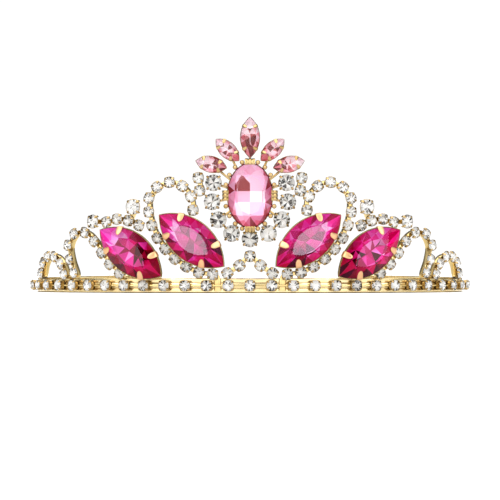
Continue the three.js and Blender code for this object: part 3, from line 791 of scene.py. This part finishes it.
def add_round_cup(metal, matrix, size, girdle, crown, cup):
    """A cup from its foot up the outside, over the rim and down to its floor, and four prongs on the rim."""
    rim = size / 2 + cup["wall"]
    top = girdle - cup["drop"]
    foot, foot_share = cup["foot"], cup["foot_radius"] / rim
    outline = round_outline(rim, rim, CUP_SIDES, cup["power"])
    metal.add(*loft(stacked(outline, [
        (foot_share * 0.9, foot),
        (foot_share, foot + 0.1),
        (1 - CUP_MIDDLE * (1 - foot_share), girdle - CUP_MIDDLE * (girdle - foot)),
        *((share, top + rise) for share, rise in CUP_RIM),
        (CUP_FLOOR_SHARE, top - cup["pavilion"] - KEEL_GAP / 2),
    ])), matrix)
    slope = crown / ((1 - ROUND_TABLE) * size / 2)
    reach = ROUND_PRONG["reach"] * cup["prong"]
    prong = claw(cup["prong"], ROUND_PRONG["thickness"] * size, ROUND_PRONG["foot"] * (girdle - foot),
                 ROUND_PRONG["shoulder"], reach, reach * slope)
    corner = np.linalg.norm(round_outline(rim, rim, 8, cup["power"])[1])
    radius = size / 2 + ROUND_PRONG["outwards"] * (corner - size / 2)
    for quarter in range(4):
        bearing = math.pi / 4 + quarter * math.pi / 2
        x, y = radius * math.cos(bearing), radius * math.sin(bearing)
        metal.add(*prong, turned_to(matrix, x, y, girdle, bearing + math.pi))


def chain_stones(runs):
    """Rows of arc, height, size and turn, one for each stone, for every run."""
    rows = []
    for count, size, points in runs:
        points = np.array(points)
        places = spaced(smooth_path(points), count) if count > 1 else points
        step = np.gradient(places, axis=0) if count > 1 else np.array([[1.0, 0.0]])
        rows.append([(*place, size, math.atan2(s[1], s[0])) for place, s in zip(places, step)])
    return rows


def with_feet(places):
    """A ribbon that ends at a low stone goes on down to the upper edge of the band."""
    line = list(places)
    if places[0][1] < LOW_STONE:
        line.insert(0, (places[0][0], RIBBON_END_HEIGHT))
    if places[-1][1] < LOW_STONE:
        line.append((places[-1][0], RIBBON_END_HEIGHT))
    return line


def add_ribbon(metal, places, ribbon):
    """A flat bar behind a run of stones, from its back to its front edge."""
    flat = smooth_path(places, 8)
    out = (ribbon["back"] + ribbon["front"]) / 2
    path = np.array([point_at(arc, height, out) for arc, height in flat])
    normals = np.array([[*front_seat(arc)[1], 0] for arc, height in flat])
    across = np.cross(normals, np.gradient(path, axis=0))
    depth = ribbon["front"] - ribbon["back"]
    metal.add(*sweep(path, across, ribbon["width"], depth, **RIBBON_SECTION), slots=1)


def make_chain(node, runs, cup, ribbon):
    """Runs of stones in cups. The ribbon of each later run starts at the nearest stone of those before it."""
    metal, stones = Shape(), Shape()
    placed = []
    for rows in chain_stones(runs):
        places = [(arc, height) for arc, height, size, turn in rows]
        line = list(places) if ribbon is BASE_WIRE else with_feet(places)
        if placed:
            line.insert(0, min(placed, key=lambda p: math.dist(p, places[0])))
        add_ribbon(metal, line, ribbon)
        for arc, height, size, turn in rows:
            matrix = seat(arc, height, CLEARANCE, turn)
            girdle, crown = size * CUP_DEPTH, size * CUP_CROWN
            add_round_cup(metal, matrix, size, girdle, crown, cup)
            add_round_stone(stones, matrix, size * STONE_SHARE, girdle, crown, cup["pavilion"],
                            **CHAIN_FACETS)
        placed += places
    if node.endswith("inner_arch"):
        side = math.copysign(1, placed[0][0])
        add_ribbon(metal, [(side * arc, height) for arc, height in FOOT_PLATE_LINE], FOOT_PLATE)
    make_piece(node + "_cups", metal, [gold, ribbon_gold], node)
    make_piece(node + "_stones", stones, clear_cut, node, crease=STONE_CREASE)


def mirrored(runs, side):
    return [(count, size, [(side * arc, height) for arc, height in points]) for count, size, points in runs]


# Boat-shaped stones

def boat_seat(arc, height, lean, side):
    return seat(side * arc, height, 0.0, -side * math.radians(lean))


def add_boat_cup(metal, matrix, length, width, cut):
    """A cup from its foot up the outside, over the rim and down to its floor."""
    girdle, lip = cut["girdle"], cut["lip"]
    margin = 2 * (cut["wall"] + SEAT_GAP)
    outer = boat_outline(length + margin, width + margin, BOAT_SIDE_STEPS)
    inner = boat_outline(length + SEAT_GAP, width + SEAT_GAP, BOAT_SIDE_STEPS)
    rings = stacked(outer, [
        (BOAT_FOOT_SHARE * 0.97, CLEARANCE),
        (BOAT_FOOT_SHARE, CLEARANCE + 0.08 * girdle),
        (0.99, girdle - lip),
        (1.0, girdle - lip * 0.7),
        (1.0, girdle - 0.1),
    ])
    rings += stacked(outer * 0.75 + inner * 0.25, [(1.0, girdle)])
    rings += stacked(outer * 0.3 + inner * 0.7, [(1.0, girdle)])
    floor = girdle - cut["pavilion"] - KEEL_GAP
    rings += stacked(inner, [(1.0, girdle - 0.15), (BOAT_FLOOR_SHARE, floor)])
    metal.add(*loft(rings), matrix)


def add_boat_prongs(metal, matrix, length, width, cut, slot=0):
    """Two prongs on each long side, square to the outline, that follow the slope of the crown."""
    half_width = width / 2
    radius = (length ** 2 / 4 + half_width ** 2) / width
    along = BOAT_PRONG["place"] * length / 2
    angle = math.asin(along / radius)
    edge = radius * math.cos(angle) - (radius - half_width)
    inset = (1 - cut["table"]) * (edge * math.cos(angle) + along * math.sin(angle))
    reach = BOAT_PRONG["reach"] * cut["prong"]
    thickness = BOAT_PRONG["thickness"] * cut["prong"]
    rise = reach * cut["crown"] / inset
    prong = claw(cut["prong"], thickness, cut["lip"], BOAT_PRONG["shoulder"], reach, rise)
    for side in (1, -1):
        for end in (1, -1):
            bearing = math.atan2(-end * math.sin(angle), -side * math.cos(angle))
            metal.add(*prong, turned_to(matrix, side * edge, end * along, cut["girdle"], bearing), slot)


def add_boat_stone(stone, matrix, length, width, cut, ranges, **looks):
    line = boat_outline(length, width, cut["kites"])
    add_stone(stone, matrix, line, cut, brilliant_back, ranges, lower=BOAT_LOWER, keel=BOAT_KEEL, **looks)


# Band strip with its curled tips

def strip_section(height, ribs, per_rib=12):
    """Points round the strip: inwards from the outer face, and up from its lower edge."""
    up = np.linspace(EDGE_ROUND, height - EDGE_ROUND, RIB_COUNT * per_rib + 1)[::-1]
    across = (up / height * RIB_COUNT) % 1.0 * 2 - 1
    outer = ribs * RIB_DEPTH * np.abs(across) ** RIB_POWER
    rows = list(zip(outer, up))
    inner = STRIP_THICKNESS
    rows += [(EDGE_ROUND + outer[-1], 0.0), (inner - EDGE_ROUND, 0.0)]
    rows += [(inner, EDGE_ROUND), (inner, height - EDGE_ROUND)]
    rows += [(inner - EDGE_ROUND, height), (EDGE_ROUND + outer[0], height)]
    return np.array(rows)


def band_stations():
    """Rows of place, normal, middle height, height and rib depth for the right half."""
    rows = []

    def add_arc(angle, depth, middle, height, ribs):
        place = np.array([HALF_WIDTH * math.cos(angle), depth * math.sin(angle)])
        normal = place / np.array([HALF_WIDTH ** 2, depth ** 2])
        rows.append((place, normal / np.linalg.norm(normal), middle, height, ribs))

    for angle in np.linspace(-math.pi / 2, 0, BAND_STEPS["front"]):
        add_arc(angle, FRONT_DEPTH, STRIP_HEIGHT / 2, STRIP_HEIGHT, 1.0)
    for share in np.linspace(0, 1, BAND_STEPS["arm"])[1:]:
        middle = STRIP_HEIGHT / 2 + share * (PADDLE_RADIUS - STRIP_HEIGHT / 2)
        height = STRIP_HEIGHT + share * (STRIP_END_HEIGHT - STRIP_HEIGHT)
        travelled = share * ARM_SWEEP * REAR_DEPTH
        add_arc(ARM_SWEEP * share, REAR_DEPTH, middle, height, max(0.0, 1 - travelled / RIB_FADE))
    place, across = rows[-1][:2]
    onward = np.array([-across[1], across[0]])
    centre = place + across * CURL_RADIUS
    curl_length = CURL_TURN * CURL_RADIUS

    def paddle_height(travelled):
        half = math.sqrt(max(PADDLE_RADIUS ** 2 - (travelled - curl_length) ** 2, PADDLE_TIP ** 2))
        return max(2 * half, STRIP_END_HEIGHT) if travelled < curl_length else 2 * half

    for turn in np.linspace(0, CURL_TURN, BAND_STEPS["curl"])[1:]:
        normal = across * math.cos(turn) - onward * math.sin(turn)
        height = paddle_height(turn * CURL_RADIUS)
        rows.append((centre - normal * CURL_RADIUS, normal, PADDLE_RADIUS, height, 0.0))
    place, normal = rows[-1][:2]
    for share in PADDLE_STEPS:
        run = PADDLE_RETURN * share
        rows.append((place - onward * run, normal, PADDLE_RADIUS, paddle_height(curl_length + run), 0.0))
    return rows


def make_band():
    right = band_stations()
    flip = np.array([-1, 1])
    left = [(place * flip, normal * flip, *rest) for place, normal, *rest in right[:0:-1]]
    rings = []
    for place, normal, middle, height, ribs in left + right:
        section = strip_section(height, ribs)
        flat = place - section[:, :1] * normal + (0, CENTRE_Y)
        rings.append(np.column_stack([flat, middle - height / 2 + section[:, 1]]))
    shape = Shape()
    shape.add(*loft(rings))
    make_piece("band_strip", shape, [strip_gold], "band")


# Centre

def halo_places():
    """Arc and height of each halo stone, from the left end round the bottom to the right end."""
    turn = np.linspace(-math.pi / 2, math.pi / 2, 2001)
    path = np.column_stack([HALO["half_width"] * np.cos(turn), HALO["half_height"] * np.sin(turn)])
    travel = travel_along(path)
    half = (HALO["count"] - 1) // 2
    for i in range(-half, half + 1):
        stop = abs(i) * HALO["pitch"]
        x, y = np.interp(stop, travel, path[:, 0]), np.interp(stop, travel, path[:, 1])
        yield math.copysign(x, i), OVAL["height"] + y


def add_bezel(metal, matrix):
    """The oval cup, with a row of beads round its rim and a tab of three ridges at each quarter."""
    wide, high, girdle = OVAL["half_width"], OVAL["half_height"], OVAL["girdle"]

    def oval(extra):
        return round_outline(wide + extra, high + extra, BEZEL_SIDES)

    rim = SEAT_GAP + OVAL_WALL
    rings = stacked(oval(rim), [(share, CLEARANCE + rise) for share, rise in BEZEL_FOOT])
    rings += stacked(oval(rim), [(share, girdle + rise) for share, rise in BEZEL_LIP])
    rings += stacked(oval(rim - BEZEL_ROUND), [(1.0, girdle)])
    floor = girdle - OVAL["pavilion"] - KEEL_GAP
    rings += stacked(oval(SEAT_GAP / 2), [(1.0, girdle - 0.05), (BEZEL_FLOOR_SHARE, floor)])
    metal.add(*loft(rings), matrix)
    stops = 4 * (BEADS_PER_QUADRANT + 1)
    for stop in range(stops):
        if stop % (BEADS_PER_QUADRANT + 1) == 0:
            continue
        angle = 2 * math.pi * stop / stops
        place = np.eye(4)
        place[:3, 3] = ((wide + BEAD_LINE) * math.cos(angle), (high + BEAD_LINE) * math.sin(angle), girdle)
        metal.add(*ball(BEAD_RADIUS), matrix @ place)
    for x, y in ((wide, 0), (0, high), (-wide, 0), (0, -high)):
        bearing = math.atan2(-y, -x)
        for ridge in (-1, 0, 1):
            offset = ridge * TAB_RIDGE
            px, py = x - offset * math.sin(bearing), y + offset * math.cos(bearing)
            profile = [(along, 0, rise) for along, rise in TAB_PROFILE]
            bar = sweep(profile, (0, 1, 0), TAB_RIDGE, TAB_THICKNESS)
            metal.add(*bar, turned_to(matrix, px, py, girdle - TAB_SIDE_DROP * abs(ridge), bearing))


def add_solder(metal, arc, height):
    """A bar behind a cup, from its foot to the foot of the bezel."""
    inwards = np.array([-arc, OVAL["height"] - height])
    inwards /= np.linalg.norm(inwards)
    bearing = math.atan2(-inwards[1] / OVAL["half_height"], -inwards[0] / OVAL["half_width"])
    share = SOLDER["end_share"]
    start = np.array([arc, height])
    end = np.array([share * OVAL["half_width"] * math.cos(bearing),
                    OVAL["height"] + share * OVAL["half_height"] * math.sin(bearing)])
    path = [point_at(*(start * (1 - t) + end * t), SOLDER["out"]) for t in np.linspace(0, 1, 4)]
    normal = front_seat(arc / 2)[1]
    across = np.cross([*normal, 0], path[-1] - path[0])
    metal.add(*sweep(path, across, SOLDER["width"], SOLDER["thickness"]))


def make_centre():
    random.seed(DRAWS["centre"])
    metal = Shape()
    for name, (arc, height, lean, length, width) in NAVETTES.items():
        for side_name, side in (SIDES if arc else {"middle": 1}).items():
            matrix = boat_seat(arc, height, lean, side)
            stone = Shape()
            add_boat_cup(metal, matrix, length, width, NAVETTE_CUT)
            add_boat_prongs(metal, matrix, length, width, NAVETTE_CUT)
            add_solder(metal, side * arc, height)
            add_boat_stone(stone, matrix, length, width, NAVETTE_CUT, BLUSH_SHADES, fade=NAVETTE_PAINTED_LIGHT)
            node = f"{side_name}_{name}_navette"
            make_piece(node + "_cut", stone, blush_cut, node, crease=STONE_CREASE)
    for i, (arc, height) in enumerate(halo_places()):
        stone = Shape()
        lifted = seat(arc, height, CLEARANCE)
        girdle = HALO["girdle"] - CLEARANCE
        add_round_cup(metal, lifted, HALO["size"], girdle, HALO_CROWN, HALO_CUP)
        add_solder(metal, arc, height)
        add_round_stone(stone, lifted, HALO["size"], girdle, HALO_CROWN, HALO_CUP["pavilion"], **HALO_FACETS)
        node = f"halo_stone_{i + 1}"
        make_piece(node + "_cut", stone, clear_cut, node, crease=STONE_CREASE)
    matrix = seat(0, OVAL["height"])
    add_bezel(metal, matrix)
    stone = Shape()
    line = round_outline(OVAL["half_width"], OVAL["half_height"], 2 * OVAL["kites"])
    line = np.roll(line, -1, axis=0)
    add_stone(stone, matrix, line, OVAL, window_back, ROSE_SHADES, dome=OVAL["dome"], fade=OVAL_PAINTED_LIGHT)
    make_piece("oval_stone_cut", stone, rose_cut, "oval_stone", crease=STONE_CREASE)
    make_piece("centre_mount", metal, [gold], "centre_setting")


def make_marquises():
    for name, (arc, height, lean, length, width) in MARQUISES.items():
        for side_name, side in SIDES.items():
            node = f"{side_name}_{name}"
            random.seed(DRAWS[node])
            matrix = boat_seat(arc, height, lean, side)
            metal, stone = Shape(), Shape()
            add_boat_cup(metal, matrix, length, width, MARQUISE_CUT)
            add_boat_prongs(metal, matrix, length, width, MARQUISE_CUT, slot=1)
            tip = -MARQUISE_TIP * matrix[2, :2]
            fade = MARQUISE_PAINTED_LIGHT[name] * np.array([-side, 1])
            add_boat_stone(stone, matrix, length, width, MARQUISE_CUT, FUCHSIA_SHADES[name],
                           dome=MARQUISE_DOME, tip=tip, fade=fade)
            make_piece(node + "_cup", metal, [gold, reflection_tinted_gold], node + "_setting")
            make_piece(node + "_cut", stone, marquise_looks[name], node + "_marquise",
                       crease=STONE_CREASE)


# Floor, light and camera
FLOOR = {"half_width": 6000.0, "drop": 0.02, "colour": (0.93, 0.93, 0.93)}
CAMERA = {"sensor": 36.0, "lens": 138.0, "distance": 550.0, "height": 6.0, "target_height": 12.4}
TARGET_OUT = 2.0
NEAR_LIMIT = 10.0
FAR_LIMIT = 50000.0


def make_floor():
    mesh = bpy.data.meshes.new("floor")
    half = FLOOR["half_width"] * MM
    corners = [(-half, -half, 0), (half, -half, 0), (half, half, 0), (-half, half, 0)]
    mesh.from_pydata(corners, [], [[0, 1, 2, 3]])
    floor = bpy.data.objects.new("floor", mesh)
    floor.location.z = -FLOOR["drop"] * MM
    bpy.context.scene.collection.objects.link(floor)
    material, nodes, links, shader = new_material("floor_paper")
    shader.inputs["Base Color"].default_value = (*FLOOR["colour"], 1)
    shader.inputs["Roughness"].default_value = 1.0
    shader.inputs["Specular IOR Level"].default_value = 0.0
    mesh.materials.append(material)


def spot_mask(nodes, links, direction, edge, soft):
    """One inside a round patch of the surroundings and zero outside it; angles in degrees."""
    place = nodes.new("ShaderNodeTexCoord")
    dot = nodes.new("ShaderNodeVectorMath")
    dot.operation = "DOT_PRODUCT"
    dot.inputs[1].default_value = Vector(direction).normalized()
    links.new(place.outputs["Generated"], dot.inputs[0])
    fade = nodes.new("ShaderNodeMapRange")
    fade.interpolation_type = "SMOOTHSTEP"
    fade.inputs["From Min"].default_value = math.cos(math.radians(edge + soft))
    fade.inputs["From Max"].default_value = math.cos(math.radians(edge))
    links.new(dot.outputs["Value"], fade.inputs["Value"])
    return fade.outputs["Result"]


# Patches of the surroundings: direction, half angle, softness and brightness
PATCHES = (
    ((0.0, 1.0, 0.1), 60, 35, 0.15),
    ((0.0, -1.0, 0.0), 14, 6, 1.2),
    ((-0.394, -1.0, 0.11), 13, 4, 2.2),
    ((0.394, -1.0, 0.11), 13, 4, 2.2),
    ((-1.05, -1.0, 0.3), 9, 3, 1.6),
    ((1.05, -1.0, 0.3), 9, 3, 1.6),
    ((-0.8, -1.0, 0.9), 24, 5, 3.2),
    ((0.9, -0.9, 0.8), 22, 5, 3.0),
    ((0.0, 0.1, 1.0), 30, 8, 2.6),
    ((0.0, -1.0, 0.55), 8, 3, 0.05),
    ((-1.0, -0.25, 0.1), 10, 4, 0.05),
    ((1.0, -0.25, 0.1), 10, 4, 0.05),
)
SURROUND = 0.85
BACKGROUND = 1.05


def make_surroundings():
    world = bpy.data.worlds.new("studio")
    bpy.context.scene.world = world
    world.use_nodes = True
    nodes, links = world.node_tree.nodes, world.node_tree.links
    level = None
    for direction, edge, soft, brightness in PATCHES:
        mix = nodes.new("ShaderNodeMix")
        links.new(spot_mask(nodes, links, direction, edge, soft), mix.inputs[0])
        mix.inputs[2].default_value = SURROUND
        mix.inputs[3].default_value = brightness
        if level:
            links.new(level, mix.inputs[2])
        level = mix.outputs[0]
    lit = nodes["Background"]
    links.new(level, lit.inputs["Strength"])
    seen = nodes.new("ShaderNodeBackground")
    seen.inputs["Strength"].default_value = BACKGROUND
    seen.inputs["Color"].default_value = (1, 1, 1, 1)
    lit.inputs["Color"].default_value = (1, 1, 1, 1)
    path = nodes.new("ShaderNodeLightPath")
    choice = nodes.new("ShaderNodeMixShader")
    links.new(path.outputs["Is Camera Ray"], choice.inputs[0])
    links.new(lit.outputs[0], choice.inputs[1])
    links.new(seen.outputs[0], choice.inputs[2])
    links.new(choice.outputs[0], nodes["World Output"].inputs["Surface"])


def make_camera():
    """The photograph's distance and lens; its low angle is stopped just above the floor."""
    data = bpy.data.cameras.new("camera")
    data.sensor_width = CAMERA["sensor"]
    data.lens = CAMERA["lens"]
    data.clip_start = NEAR_LIMIT * MM
    data.clip_end = FAR_LIMIT * MM
    camera = bpy.data.objects.new("camera", data)
    front = CENTRE_Y - FRONT_DEPTH - TARGET_OUT
    camera.location = Vector((0, front - CAMERA["distance"], CAMERA["height"])) * MM
    target = Vector((0, front, CAMERA["target_height"])) * MM
    camera.rotation_mode = "QUATERNION"
    camera.rotation_quaternion = (target - camera.location).to_track_quat("-Z", "Y")
    bpy.context.scene.collection.objects.link(camera)
    bpy.context.scene.camera = camera


make_camera()
make_surroundings()
make_floor()
make_band()
base_reach = BASE_PITCH * (BASE_COUNT - 1) / 2
base_row = [(BASE_COUNT, CHAIN_STONE, [(-base_reach, BASE_HEIGHT), (base_reach, BASE_HEIGHT)])]
make_chain("base_chain", base_row, BASE_CUP, BASE_WIRE)
make_chain("centre_peak", CENTRE_PEAK, ARCH_CUP, RIBBON)
for side_name, side in SIDES.items():
    for chain_name, runs in SIDE_CHAINS.items():
        make_chain(f"{side_name}_{chain_name}", mirrored(runs, side), ARCH_CUP, RIBBON)
make_marquises()
make_centre()
bpy.context.scene.view_settings.view_transform = "Standard"
